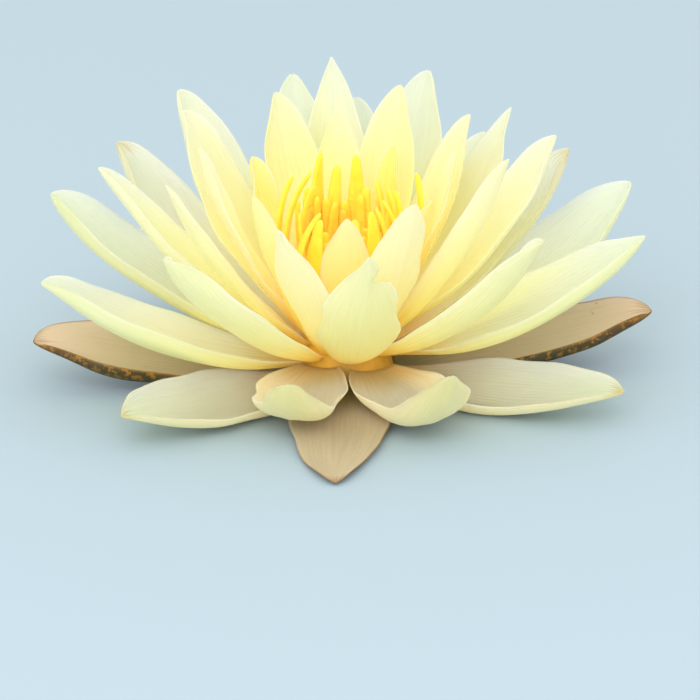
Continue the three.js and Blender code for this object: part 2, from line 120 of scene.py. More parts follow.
def canal_openings(x, y, z):
    """Pits in the scar. Each is a bell curve, with a flat floor, of the distance from its canal's
    middle."""
    depth = np.zeros_like(x)
    for count, out, radius, turn in CANAL_RINGS:
        for k in range(count):
            angle = 2 * np.pi * k / count + turn
            away = np.hypot(x - out * np.cos(angle), y - out * np.sin(angle)) / radius
            depth += np.exp(-(away**4))
    return CANAL_DEPTH * np.minimum(depth, 1) * (z < CANAL_LEVEL)


def node(tree, kind, *inputs, **settings):
    """Adds a node. Its inputs are filled in order, from sockets or plain values; None skips one."""
    made = tree.nodes.new(kind)
    for key, value in settings.items():
        setattr(made, key, value)
    for socket, value in zip(made.inputs, inputs):
        if isinstance(value, bpy.types.NodeSocket):
            tree.links.new(value, socket)
        elif value is not None:
            socket.default_value = value
    return made


def calc(tree, operation, *inputs):
    """A sum on plain numbers."""
    return node(tree, "ShaderNodeMath", *inputs, operation=operation).outputs[0]


def ease(tree, value, low, high, start=0.0, end=1.0):
    """Goes smoothly from start to end while the value goes from low to high."""
    ends = (low, high, start, end)
    made = node(tree, "ShaderNodeMapRange", value, *ends, interpolation_type="SMOOTHSTEP")
    return made.outputs[0]


def clouds(tree, place, scale, detail, roughness):
    """A cloudy pattern that wavers round a half."""
    return node(tree, "ShaderNodeTexNoise", place, None, scale, detail, roughness).outputs["Fac"]


def mixed(tree, share, first, second, blend_type="MIX"):
    """The first colour, with the given share of the second."""
    made = tree.nodes.new("ShaderNodeMix")
    made.data_type = "RGBA"
    made.blend_type = blend_type
    for number, value in ((0, share), (6, first), (7, second)):
        if isinstance(value, bpy.types.NodeSocket):
            tree.links.new(value, made.inputs[number])
        else:
            made.inputs[number].default_value = value
    return made.outputs[2]


def new_skin(name, **plain):
    """A material with one Principled shader. plain gives the sockets that are the same all over."""
    skin = bpy.data.materials.new(name)
    skin.use_nodes = True
    shader = skin.node_tree.nodes["Principled BSDF"]
    for key, value in plain.items():
        shader.inputs[key.replace("_", " ")].default_value = value
    return skin, skin.node_tree, shader


def raise_surface(tree, shader, height, strength, distance):
    """Makes the light see relief. Where height goes up by one the relief rises by distance, in
    metres, and strength is the share of it that shows."""
    raised = node(tree, "ShaderNodeBump", strength, distance)
    tree.links.new(height, raised.inputs["Height"])
    tree.links.new(raised.outputs[0], shader.inputs["Normal"])


def receptacle_flesh():
    """Waxy golden flesh, its gold partly painted shade, browner on the cut scar, with painted shade in
    the canal pits.
    """
    skin, tree, shader = new_skin(
        "receptacle_flesh", Roughness=0.5, Subsurface_Weight=0.3, Subsurface_Scale=0.002,
        Subsurface_Radius=GOLDEN_SPREAD,
    )
    place = node(tree, "ShaderNodeTexCoord").outputs["Object"]
    x, y, z = node(tree, "ShaderNodeSeparateXYZ", place).outputs[:3]
    squares = calc(tree, "MULTIPLY", x, x), calc(tree, "MULTIPLY", y, y)
    out = calc(tree, "SQRT", calc(tree, "ADD", *squares))
    grain = clouds(tree, place, 900.0, 4.0, 0.6)
    blotch = clouds(tree, place, 160.0, 3.0, 0.6)
    # The wall's golden colour is partly painted shade, standing for the shaded band at the foot of the
    # petals.
    flesh = mixed(tree, ease(tree, blotch, 0.35, 0.7), pigment("#dcae2a"), pigment("#e8be40"))
    scar = mixed(tree, ease(tree, grain, 0.4, 0.65), pigment("#a89352"), pigment("#c9bb7d"))
    within = ease(tree, out, (SCAR_RADIUS + 0.2) * MM, (SCAR_RADIUS - 0.2) * MM)
    on_scar = calc(tree, "MULTIPLY", within, ease(tree, z, 0.0018, 0.001))
    # Painted shade: the shallow canal pits are painted dark, standing for the depth of the open
    # canals.
    canal_pit_shade = calc(tree, "MULTIPLY", on_scar, ease(tree, z, 0.0001, 0.0007))
    colour = mixed(tree, canal_pit_shade, mixed(tree, on_scar, flesh, scar), pigment("#4d4422"))
    tree.links.new(colour, shader.inputs["Base Color"])
    raise_surface(tree, shader, grain, 0.35, 0.0004)
    return skin


def receptacle():
    """The outline goes from the middle of the scar round the belly and up to the shoulder."""
    scar = [(r, 0.0) for r in np.linspace(0, SCAR_RADIUS, SCAR_RINGS)]
    bend = [(8.8, 0.65), (11.3, 1.15), (12.1, 1.5), (12.45, 2.1), (BELLY_RADIUS, 3.0)]
    height = np.linspace(BELLY_TOP, SHOULDER_HEIGHT, WALL_RINGS)
    wall = list(zip(np.linspace(BELLY_RADIUS, SHOULDER_RADIUS, WALL_RINGS), height))
    crown = [(6.0, SHOULDER_HEIGHT), (3.0, SHOULDER_HEIGHT), (0.0, SHOULDER_HEIGHT)]
    points, faces = lathe(scar + bend + wall + crown, RECEPTACLE_SIDES, canal_openings)
    grown("receptacle_body", points, faces, receptacle_flesh(), "receptacle", "receptacle_flesh")


receptacle()


# ---------------------------------------------------------------- sepals
# Four thick leaf-like blades that closed the bud, tan and faintly veined inside and dark olive
# outside with a rust-coloured rim. They grow from the belly of the receptacle. Every petal is a
# blade like them, shaped and coloured by what this section sets up.

ROWS = 61
HALF_COLUMNS = 15
COLUMNS = 2 * HALF_COLUMNS + 1
SEAT_CLEARANCE = 0.5  # how far a root stands off the receptacle
TIP_STRAYS = 9  # degrees by which a tip may lean to one side
MARGIN_STRAYS = 0.018  # a margin falls short by up to twice this share of its reach
SWELL_HEIGHT = 0.4
CREASE_WIDTH = 0.13  # as a share of the way from the middle line to the margin
THIN_MARGIN, THIN_TIP = 0.62, 0.35  # shares of its thickness that a blade loses there
LOWEST = (0.02, 0.3)  # the outer and the inner face stay this far above the floor
VEIN_PAIRS = 6.5  # veins on each half of a blade, each with a forked one beside it
BLADES_APART = 37.0  # how far the patterns of two blades may lie from each other
# Lengths are in millimetres and angles in degrees. azimuth and seat say where a blade leaves the
# receptacle and root how wide it is there. widest is the share of its length at which it is widest,
# and full and point shape its outline from there to the tip. cup, curl, lip and pinch raise its
# margins: on stands for the half towards larger azimuths and back for the other. A nick is a side,
# its place and half its span as shares of the length, and its depth. blush and brown are stains.
RING_SHAPES = {
    "sepal": dict(width=28, root=9, arch=6, cup=20, curl=14, widest=0.42, full=2.1, point=0.8),
    "low": dict(width=27, root=7, arch=16, cup=40, curl=26, widest=0.48, full=2.3, point=0.65),
    "outer": dict(width=29, root=6, arch=21, cup=46, curl=20, widest=0.5, full=2.3, point=0.65),
    "middle": dict(width=23, root=5, arch=16, cup=42, curl=18, widest=0.5, full=2.3, point=0.65),
    "inner": dict(width=17, root=4.2, arch=10, cup=36, curl=14, widest=0.52, full=2.4, point=0.65),
}
PLAIN = dict(
    hook=0, veer=0, bend=0, roll=0, curl_on=None, curl_back=None, pinch=16,
    lip_on=0, lip_back=0, wave=0.5, crease=0.3, thick=0.62, nicks=(), blush=0, brown=0,
)


def soft_step(x, low, high):
    """Goes smoothly from 0 to 1 while x goes from low to high."""
    t = np.clip((x - low) / (high - low), 0, 1)
    return t * t * (3 - 2 * t)


def blade_sheet(b, random):
    """The inner face of a blade. Its middle line rises by rise + arch(2u-1) + hook u^3, swings by
    veer + bend(2u-1) and turns over by roll. A row across it tilts up by cup s + curl s^3, with a
    lip near the margin and pinch s near the tip. Each nick narrows one half by a bell curve.
    Ripples along the margin, a slow swell and a crease down the middle push the face in and out."""
    u = np.sin(np.linspace(0, np.pi / 2, ROWS))
    between = (u[1:] + u[:-1]) / 2
    phase = random.uniform(0, 2 * np.pi, 6)

    def heading(t):
        lean = TIP_STRAYS * np.sin(phase[4]) * t**8
        return np.radians(b["veer"] + b["bend"] * (2 * t - 1) + lean)

    def along(t):
        rise = np.radians(b["rise"] + b["arch"] * (2 * t - 1) + b["hook"] * t**3)
        flat, turn = np.cos(rise), heading(t)
        return np.stack([flat * np.cos(turn), flat * np.sin(turn), np.sin(rise)], axis=-1)

    steps = along(between) * (b["length"] * np.diff(u))[:, None]
    middle = np.vstack([np.zeros(3), np.cumsum(steps, axis=0)])
    tangent = along(u)
    level = np.stack([-np.sin(heading(u)), np.cos(heading(u)), np.zeros(ROWS)], axis=-1)
    lift = np.cross(tangent, level)
    roll = np.radians(b["roll"]) * soft_step(u, 0, 0.35)[:, None]
    across = level * np.cos(roll) + lift * np.sin(roll)
    up = lift * np.cos(roll) - level * np.sin(roll)

    closing = np.clip((u - b["widest"]) / (1 - b["widest"]), 0, 1)
    opening = np.sin(np.pi / 2 * np.minimum(u / b["widest"], 1))
    half = np.where(
        u < b["widest"],
        (b["root"] + (b["width"] - b["root"]) * opening) / 2,
        b["width"] / 2 * (1 - closing ** b["full"]) ** b["point"],
    )
    share = (np.arange(HALF_COLUMNS) + 0.5) / HALF_COLUMNS
    sides = []
    for side, curl, lip in ((-1, b["curl_back"], b["lip_back"]), (1, b["curl_on"], b["lip_on"])):
        stray = MARGIN_STRAYS * (1 + np.sin(phase[4] + side * phase[5] + 21 * u))
        reach = half * (1 - stray * soft_step(u, 0.2, 0.5))
        for nick_side, at, span, depth in b["nicks"]:
            if nick_side == side:
                reach *= 1 - depth * np.exp(-(((u - at) / span) ** 2))
        tilt = b["cup"] * share + curl * share**3 * soft_step(u, -0.2, 0.6)[:, None]
        tilt = tilt + b["pinch"] * share * soft_step(u, 0.76, 0.96)[:, None]
        rolled = soft_step(u, 0.12, 0.4) * (1 - soft_step(u, 0.97, 1))
        tilt = np.radians(tilt + lip * soft_step(share, 0.66, 0.9) * rolled[:, None])
        step = (reach / HALF_COLUMNS)[:, None]
        outward = side * np.cumsum(np.cos(tilt) * step, axis=1)[..., None] * across[:, None]
        upward = np.cumsum(np.sin(tilt) * step, axis=1)[..., None] * up[:, None]
        sides.append(middle[:, None] + outward + upward)
    sheet = np.concatenate([sides[0][:, ::-1], middle[:, None], sides[1]], axis=1)

    s = np.linspace(-1, 1, COLUMNS)
    t = u[:, None]
    ripple = np.where(s < 0, np.sin(phase[0] + 15 * t), np.sin(phase[1] + 17 * t))
    swell = np.sin(phase[2] + 5 * t + 2 * s) + 0.6 * np.sin(phase[3] + 9 * t - 3 * s)
    fold = -np.exp(-((s / CREASE_WIDTH) ** 2)) * soft_step(t, 0.35, 0.8)
    bulge = b["wave"] * np.abs(s) ** 3 * ripple + SWELL_HEIGHT * swell + b["crease"] * fold
    bulge = bulge * (soft_step(u, 0.05, 0.3) * soft_step(half / half.max(), 0, 0.7))[:, None]
    return sheet + bulge[..., None] * sheet_normals(sheet), u, s


def sheet_normals(sheet):
    """The way each point of the inner face looks: the step along crossed with the step across."""
    normal = np.cross(np.gradient(sheet, axis=0), np.gradient(sheet, axis=1))
    normal[-1] = normal[-2, HALF_COLUMNS]
    return normal / np.maximum(np.linalg.norm(normal, axis=-1, keepdims=True), 1e-9)


def wall_radius(height):
    """How wide the receptacle is at this height."""
    share = max((height - BELLY_TOP) / (SHOULDER_HEIGHT - BELLY_TOP), 0)
    return BELLY_RADIUS + (SHOULDER_RADIUS - BELLY_RADIUS) * share


def turned(points, azimuth):
    """Points turned round the axis by an azimuth in degrees."""
    a = np.radians(azimuth)
    return points @ np.array([[np.cos(a), np.sin(a), 0], [-np.sin(a), np.cos(a), 0], [0, 0, 1]])


def closed_at_tip(face):
    """The points of a face as one list, with its last row drawn together in its middle point."""
    return np.vstack([face[:-1].reshape(-1, 3), face[-1:, HALF_COLUMNS]])


def blade(name, ring, skin, slot, **own):
    """A closed blade: its inner face, an outer face behind it, and the margin between them. It is
    thickest in the middle near its root, each face closes in one point at the tip, and what would
    sink below the floor lies on it. Each name starts its own random draws."""
    b = {**PLAIN, **RING_SHAPES[ring], **own}
    for margin in ("curl_on", "curl_back"):
        b[margin] = b["curl"] if b[margin] is None else b[margin]
    random = np.random.default_rng(sum(name.encode()) * 7 + 3)
    sheet, u, s = blade_sheet(b, random)
    thickness = b["thick"] * (1 - THIN_MARGIN * np.abs(s) ** 4) * (1 - THIN_TIP * u[:, None] ** 2)
    back = sheet - sheet_normals(sheet) * thickness[..., None]

    body = (ROWS - 1) * COLUMNS
    count = body + 1
    quads = grid_quads(ROWS - 1, COLUMNS)[:, [0, 3, 2, 1]]
    j = np.arange(COLUMNS - 1)
    before_tip = (ROWS - 2) * COLUMNS
    fan = np.stack([before_tip + j, np.full_like(j, body), before_tip + j + 1], axis=-1)
    i = np.arange(ROWS - 2)
    row, next_row, far = i * COLUMNS, (i + 1) * COLUMNS, COLUMNS - 1
    starts = np.concatenate([row, [before_tip], next_row + far, [body], j + 1])
    ends = np.concatenate([next_row, [body], row + far, [before_tip + far], j])
    margin = np.stack([starts, starts + count, ends + count, ends], axis=-1)
    faces = quads.tolist() + (quads[:, ::-1] + count).tolist() + margin.tolist()
    faces += fan.tolist() + (fan[:, ::-1] + count).tolist()

    root = np.array([wall_radius(b["seat"]) + SEAT_CLEARANCE, 0, b["seat"]])
    points = np.vstack([closed_at_tip(sheet), closed_at_tip(back)])
    points = turned(points, b["azimuth"]) + turned(root, b["azimuth"])

    one_face = closed_at_tip(np.stack(np.broadcast_arrays(s, u[:, None], 0.0), axis=-1))
    span = np.vstack([one_face, one_face + [0, 0, 1]])
    points[:, 2] = np.maximum(points[:, 2], np.where(span[:, 2] > 0, *LOWEST))
    owned = np.broadcast_to([random.uniform(0, 1), b["blush"], b["brown"]], span.shape)
    grown(name + "_blade", points, faces, skin, name, slot, span=span, owned=owned)


def new_group(name, inputs, outputs):
    """An empty shader node group with named sockets, and its two end nodes."""
    group = bpy.data.node_groups.new(name, "ShaderNodeTree")
    for label, kind in inputs:
        group.interface.new_socket(label, in_out="INPUT", socket_type="NodeSocket" + kind)
    for label, kind in outputs:
        group.interface.new_socket(label, in_out="OUTPUT", socket_type="NodeSocket" + kind)
    given, put = group.nodes.new("NodeGroupInput"), group.nodes.new("NodeGroupOutput")
    return group, given.outputs, put.inputs


def stretched(tree, across, often, along, slowly, far):
    """A place for a pattern that changes often across a blade and slowly along it."""
    sides = calc(tree, "MULTIPLY", across, often), calc(tree, "MULTIPLY", along, slowly)
    return node(tree, "ShaderNodeCombineXYZ", *sides, far).outputs[0]


def swing(tree, pattern, size):
    """A pattern that wavers round a half, moved to waver round nought and scaled to a size."""
    return calc(tree, "MULTIPLY", calc(tree, "SUBTRACT", pattern, 0.5), size)


def vein_group():
    """Veins fan out from the root, fork half way and fade before the margin. Streaks run with them,
    and the relief raises the tissue between them."""
    group, given, put = new_group(
        "blade_veins",
        [("Across", "Float"), ("Along", "Float"), ("Seed", "Float")],
        [("Vein", "Float"), ("Streak", "Float"), ("Relief", "Float")],
    )
    across, along, seed = given["Across"], given["Along"], given["Seed"]
    far = calc(group, "MULTIPLY", seed, BLADES_APART)
    wander = clouds(group, stretched(group, across, 2.2, along, 3.0, far), 1.0, 2.0, 0.5)
    bent = calc(group, "ADD", across, swing(group, wander, 0.16))
    lines = calc(group, "MULTIPLY", bent, VEIN_PAIRS)
    between = calc(group, "ADD", lines, 0.5)
    main = ease(group, calc(group, "PINGPONG", lines, 0.5), 0.0, 0.13, 1.0, 0.0)
    forked = ease(group, calc(group, "PINGPONG", between, 0.5), 0.0, 0.12, 0.7, 0.0)
    forked = calc(group, "MULTIPLY", forked, ease(group, along, 0.25, 0.55))
    vein = calc(group, "MAXIMUM", main, forked)
    off_margin = ease(group, calc(group, "ABSOLUTE", across), 0.75, 0.98, 1.0, 0.0)
    vein = calc(group, "MULTIPLY", vein, off_margin)
    vein = calc(group, "MULTIPLY", vein, ease(group, along, 0.8, 0.97, 1.0, 0.0))
    streak = clouds(group, stretched(group, bent, 15.0, along, 2.4, far), 1.0, 4.0, 0.55)
    group.links.new(vein, put["Vein"])
    group.links.new(streak, put["Streak"])
    relief = calc(group, "SUBTRACT", streak, calc(group, "MULTIPLY", vein, 0.25))
    group.links.new(relief, put["Relief"])
    return group


def tint_group():
    """The colour of a blade: from root to tip on each face, golden at the foot partly as painted
    shade, paler along the margin, darker in the veins, flushed where it is blushed and scorched at the
    tip and margin where it is browned."""
    shades = ["Root inside", "Middle inside", "Tip inside"]
    shades += ["Root outside", "Middle outside", "Tip outside"]
    shades += ["Foot", "Rim", "Flush", "Scorch"]
    shares = ["Across", "Along", "Face", "Vein", "Streak", "Blush", "Brown"]
    shares += ["Root end", "Rim width"]
    inputs = [(shade, "Color") for shade in shades] + [(share, "Float") for share in shares]
    group, given, put = new_group("blade_tint", inputs, [("Color", "Color")])
    along = calc(group, "ADD", given["Along"], swing(group, given["Streak"], 0.22))
    faces = []
    for face in ("inside", "outside"):
        grown_out = ease(group, along, 0.02, given["Root end"])
        tone = mixed(group, grown_out, given["Root " + face], given["Middle " + face])
        faces.append(mixed(group, ease(group, along, 0.55, 1.0), tone, given["Tip " + face]))
    tone = mixed(group, ease(group, given["Face"], 0.3, 0.7), *faces)
    fading = ease(group, given["Along"], 0.0, 0.7, 0.26, 0.03)
    vein_share = calc(group, "MULTIPLY", given["Vein"], fading)
    tone = mixed(group, vein_share, tone, given["Root inside"], "MULTIPLY")
    streak_share = ease(group, given["Streak"], 0.5, 0.75, 0.0, 0.14)
    tone = mixed(group, streak_share, tone, given["Root inside"], "MULTIPLY")
    patchy = ease(group, given["Streak"], 0.25, 0.7, 0.7, 1.0)
    flush_share = calc(group, "MULTIPLY", given["Blush"], patchy)
    tone = mixed(group, flush_share, tone, given["Flush"])
    # The foot colour over the lowest quarter is partly the blade's own deeper colour and partly
    # painted shade where the blades crowd.
    tone = mixed(group, ease(group, along, 0.03, 0.25, 0.88, 0.0), tone, given["Foot"])
    edge = calc(group, "ABSOLUTE", given["Across"])
    edge = calc(group, "ADD", edge, swing(group, given["Streak"], 0.1))
    rim_start = calc(group, "SUBTRACT", 1.0, given["Rim width"])
    tone = mixed(group, ease(group, edge, rim_start, 1.0), tone, given["Rim"])
    tip = ease(group, along, 0.93, 1.0)
    upper = ease(group, along, 0.45, 0.8, 0.0, 0.9)
    worn = calc(group, "MULTIPLY", ease(group, edge, 0.92, 1.0), upper)
    scorch_share = calc(group, "MULTIPLY", given["Brown"], calc(group, "MAXIMUM", tip, worn))
    tone = mixed(group, scorch_share, tone, given["Scorch"])
    group.links.new(tone, put["Color"])
    return group


VEINS = vein_group()
TINT = tint_group()


def marked(tree, mark):
    """The three numbers that a mark gives each point."""
    stored = node(tree, "ShaderNodeAttribute", attribute_name=mark).outputs["Vector"]
    return node(tree, "ShaderNodeSeparateXYZ", stored).outputs[:3]


def blade_skin(
    name, inside, outside, rim, foot="#eebb44", flush="#e3c3a8", scorch="#b98a3c", root_end=0.4,
    rim_width=0.1, bump=0.3, glow=0.95, painted_glow=0.0, roughness=0.5,
):
    """Thin living tissue that lets light pass. inside and outside give the colours at the root,
    in the middle and at the tip. A faint painted glow, emission on the lower part of the blade, stands
    in for the light that the petals around it pass on; one setting gives its strength."""
    skin, tree, shader = new_skin(
        name, Roughness=roughness, Subsurface_Weight=glow, Subsurface_Scale=0.006,
        Subsurface_Radius=(1.0, 0.95, 0.75), Specular_IOR_Level=0.35, Sheen_Weight=0.1,
        Sheen_Roughness=0.5, Emission_Strength=painted_glow,
    )
    across, along, face = marked(tree, "span")
    seed, blush, brown = marked(tree, "owned")
    veins = node(tree, "ShaderNodeGroup", node_tree=VEINS)
    for value, socket in zip((across, along, seed), veins.inputs):
        tree.links.new(value, socket)
    tint = node(tree, "ShaderNodeGroup", node_tree=TINT)
    for shade, socket in zip((*inside, *outside, foot, rim, flush, scorch), tint.inputs):
        socket.default_value = pigment(shade)
    linked = dict(
        Across=across, Along=along, Face=face, Vein=veins.outputs["Vein"],
        Streak=veins.outputs["Streak"], Blush=blush, Brown=brown,
    )
    for key, value in linked.items():
        tree.links.new(value, tint.inputs[key])
    tint.inputs["Root end"].default_value = root_end
    tint.inputs["Rim width"].default_value = rim_width
    tree.links.new(tint.outputs["Color"], shader.inputs["Base Color"])
    if painted_glow:
        # Painted glow: emission on the lower part of the blade, mostly on its inner face, in the
        # blade's colour mixed with pale cream.
        low_down = ease(tree, along, 0.25, 0.85, 1.0, 0.0)
        deep = calc(tree, "MULTIPLY", low_down, ease(tree, face, 0.0, 1.0, 1.0, 0.08))
        painted_glow_colour = mixed(tree, 0.25, tint.outputs["Color"], pigment("#fff8d2"))
        painted_glow_colour = mixed(tree, deep, (0.0, 0.0, 0.0, 1.0), painted_glow_colour)
        tree.links.new(painted_glow_colour, shader.inputs["Emission Color"])
    dull = ease(tree, veins.outputs["Streak"], 0.2, 0.8, roughness - 0.06, roughness + 0.08)
    tree.links.new(dull, shader.inputs["Roughness"])
    place = node(tree, "ShaderNodeTexCoord").outputs["Object"]
    cells = clouds(tree, place, 1400.0, 2.0, 0.5)
    height = calc(tree, "ADD", veins.outputs["Relief"], calc(tree, "MULTIPLY", cells, 0.12))
    raise_surface(tree, shader, height, bump, 0.0006)
    return skin, tree, shader, tint


def sepal_skin():
    """Tan inside. Outside it is almost black olive with rust mottles towards the rim."""
    skin, tree, shader, tint = blade_skin(
        "sepal_skin", ("#cabe8a", "#dfc69c", "#e6c4a0"), ("#4b4a22", "#26260d", "#33250f"),
        "#b9813f", foot="#8d8a4c", flush="#bca985", scorch="#8f5a1e", root_end=0.5,
        rim_width=0.035, bump=0.2, glow=0.25,
    )
    place = node(tree, "ShaderNodeTexCoord").outputs["Object"]
    spots = clouds(tree, place, 620.0, 3.0, 0.7)
    across, along, face = marked(tree, "span")
    near_rim = ease(tree, calc(tree, "ABSOLUTE", across), 0.72, 0.99, 0.1, 0.85)
    rust = calc(tree, "MULTIPLY", ease(tree, spots, 0.5, 0.6), near_rim)
    rust = calc(tree, "MULTIPLY", rust, face)
    rusty = mixed(tree, rust, tint.outputs["Color"], pigment("#a8651c"))
    upper = ease(tree, along, 0.2, 0.5, 0.1, 0.4)
    specks = calc(tree, "MULTIPLY", ease(tree, spots, 0.33, 0.27), upper)
    tree.links.new(mixed(tree, specks, rusty, pigment("#6b5a2c")), shader.inputs["Base Color"])
    return skin


SEPALS = {
    "left": dict(
        azimuth=180, seat=2.4, length=68.5, rise=9, arch=12, veer=7, bend=6, roll=-20,
        full=2.5, point=0.56, lip_on=85, brown=0.5,
    ),
    "front": dict(
        azimuth=268, seat=2.1, length=66.5, rise=-0.7, arch=3, cup=5,
        width=26.5, widest=0.36, full=1.3, point=0.6, wave=0.2, blush=1, brown=0.6,
    ),
    "right": dict(
        azimuth=12, seat=2.4, length=69, rise=11, arch=15.5, veer=-7, bend=-12, roll=16,
        full=2.5, point=0.56, lip_back=85, brown=0.5,
    ),
    "back": dict(azimuth=93, seat=2.5, length=68, rise=3, arch=11, cup=10, wave=0.2, brown=0.9),
}
SEPAL_SKIN = sepal_skin()
for side, own in SEPALS.items():
    blade("sepal_" + side, "sepal", SEPAL_SKIN, "sepal_skin", thick=0.7, **own)


# ---------------------------------------------------------------- lowest petals
# The first ring of petals lies almost flat on the sepals. They are cream, flushed with pink-tan
# towards their roots, and the two at the front turn their tips up and over.

LOW_SKIN = blade_skin(
    "low_petal_skin", ("#ffe9b8", "#fae6b0", "#d9d599"), ("#f0d4a0", "#dccf9a", "#c2c686"),
    "#e2daa2", foot="#f0c064", root_end=0.62, rim_width=0.05,
)[0]
LOW_PETALS = {
    1: dict(
        azimuth=332, seat=3.4, root=7.5, length=67, rise=5, roll=14, cup=36, lip_back=15, brown=0.75,
    ),
    2: dict(azimuth=55, seat=4.2, length=70, rise=13),
    3: dict(azimuth=133, seat=4.2, length=70, rise=14),
    4: dict(
        azimuth=224, seat=3.5, root=8, length=65.5, rise=5, roll=-16, cup=36, lip_on=15, brown=0.75,
    ),
    5: dict(
        azimuth=240.5, seat=6.6, length=54.5, rise=-8, arch=2, hook=92, veer=19.5, bend=7, roll=-5,
        width=25, root=10, widest=0.36, full=2.6, point=0.5, cup=20, curl_on=70, curl_back=50,
        wave=0.6, nicks=((-1, 0.8, 0.07, 0.25),),
    ),
    6: dict(
        azimuth=303.2, seat=5.7, length=60, rise=-6.8, arch=2, hook=98, veer=-11, roll=7,
        width=28, root=12, widest=0.36, full=2.6, point=0.5, cup=20, curl_on=50, curl_back=90,
        wave=0.4,
    ),
}
for number, own in LOW_PETALS.items():
    blade(f"petal_low_{number}", "low", LOW_SKIN, "low_petal_skin", **own)


# ---------------------------------------------------------------- outer petals
# Long boat-shaped petals, pale greenish yellow and paler still outside. Their margins roll up, and
# two of them are flushed with pink and browned at the tip where the sepals left them bare.

# Each outer petal carries a faint painted glow: emission on its lower part, mostly on the inner face.
OUTER_SKIN = blade_skin(
    "outer_petal_skin", ("#fff0ae", "#f2f5b6", "#e3eeac"), ("#f8d66e", "#dce194", "#cdd594"),
    "#e6edaa", root_end=0.5, painted_glow=0.18,
)[0]
OUTER_PETALS = {
    1: dict(
        azimuth=17.7, seat=5.4, length=78, rise=31.5, roll=14, curl_on=-25, curl_back=-15, lip_back=25,
    ),
    2: dict(
        azimuth=27.5, seat=7.7, length=71, rise=40, roll=-2, width=26, cup=42, curl_on=8,
        blush=0.55, brown=0.7,
    ),
    3: dict(azimuth=60, seat=6.6, length=74, rise=27, width=25),
    4: dict(azimuth=119, seat=6.6, length=74, rise=27, width=25),
    5: dict(
        azimuth=148.7, seat=9.3, length=73.5, rise=36.5, roll=4, width=26, point=0.5, curl_on=30,
        blush=0.55, brown=0.7,
    ),
    6: dict(
        azimuth=166.7, seat=7.4, length=77, rise=29, roll=-4, point=0.5, curl_back=-15, lip_on=30,
    ),
    7: dict(azimuth=200, seat=5.8, root=7.5, length=76, rise=23, roll=-7, point=0.55, lip_on=30),
    8: dict(azimuth=226, seat=8.1, root=7.5, length=67, rise=37, roll=-6),
    9: dict(
        azimuth=276.6, seat=8.4, root=10, length=60, rise=46, arch=28, width=24, widest=0.45,
        point=0.85, wave=0.8, nicks=((1, 0.865, 0.035, 0.68), (-1, 0.95, 0.06, 0.3)),
    ),
    10: dict(azimuth=325, seat=9, root=6.8, length=64, rise=39, arch=23, roll=6),
    11: dict(
        azimuth=350, seat=7.9, length=76, rise=28, arch=24, roll=14, width=30, point=0.85, curl_on=30,
        lip_back=25, wave=0.8,
    ),
}
for number, own in OUTER_PETALS.items():
    blade(f"petal_outer_{number}", "outer", OUTER_SKIN, "outer_petal_skin", **own)


# ---------------------------------------------------------------- middle petals
# Narrower petals that stand more upright and are light yellow, golden where they leave the wall of
# the receptacle, partly as painted shade. Like all petals they are thin and limp, and a painted glow,
# emission on their lower halves, stands in for the light that the petals around them pass on.

MIDDLE_SKIN = blade_skin(
    "middle_petal_skin", ("#ffe182", "#fdf4a8", "#f0f0a8"), ("#ffe684", "#f4f3a4", "#e9eea4"),
    "#f2f2aa", flush="#d3e0ac", root_end=0.55, painted_glow=0.2,
)[0]
MIDDLE_PETALS = {
    1: dict(azimuth=8.8, seat=11.5, length=68, rise=49.5, roll=14, curl_on=22, width=21),
    2: dict(
        azimuth=35, seat=10.5, root=4, length=68, rise=52.5, roll=3, width=16, point=0.9, cup=36,
        curl_back=-25,
    ),
    3: dict(azimuth=49, seat=9, root=4, length=63, rise=45.5, width=21),
    4: dict(azimuth=66.4, seat=10.7, length=72, rise=53.5, width=22, roll=-4, point=0.55, blush=0.8),
    5: dict(azimuth=87.5, seat=8.9, length=68.5, rise=46, width=21, point=0.55, curl_on=5, blush=0.8),
    6: dict(azimuth=94, seat=12.1, length=71, rise=59.5, width=20, point=1, blush=0.35),
    7: dict(azimuth=105, seat=10.5, length=71, rise=52, width=19, roll=-6, point=0.55, blush=0.8),
    8: dict(azimuth=141.8, seat=10.8, length=72, rise=52.5, roll=-4, point=0.5, blush=0.6),
    9: dict(azimuth=159.7, seat=12.4, length=65, rise=58.5, roll=-6, point=0.52, curl_on=-25),
    10: dict(azimuth=185, seat=9.2, length=72, rise=44, roll=-8, lip_on=25),
    11: dict(azimuth=190, seat=13.2, length=58, rise=62, width=14, roll=-6, curl_on=5),
    12: dict(azimuth=201.6, seat=10.8, length=60.5, rise=51.5, width=14, roll=-6),
    13: dict(
        azimuth=248.5, seat=10.2, root=4, length=55, rise=52.5, roll=-25, width=20, wave=0.8,
        nicks=((1, 1, 0.15, 0.7),),
    ),
    14: dict(azimuth=297.5, seat=11.1, length=54, rise=60.5, width=18),
    15: dict(azimuth=341, seat=11.9, length=62, rise=57.5, cup=60, width=20, curl_on=5),
}
for number, own in MIDDLE_PETALS.items():
    blade(f"petal_middle_{number}", "middle", MIDDLE_SKIN, "middle_petal_skin", **own)


# ---------------------------------------------------------------- inner petals
# The last petals before the stamens. They are the narrowest and the deepest yellow, stand almost
# upright, and grow from the top of the receptacle's wall.

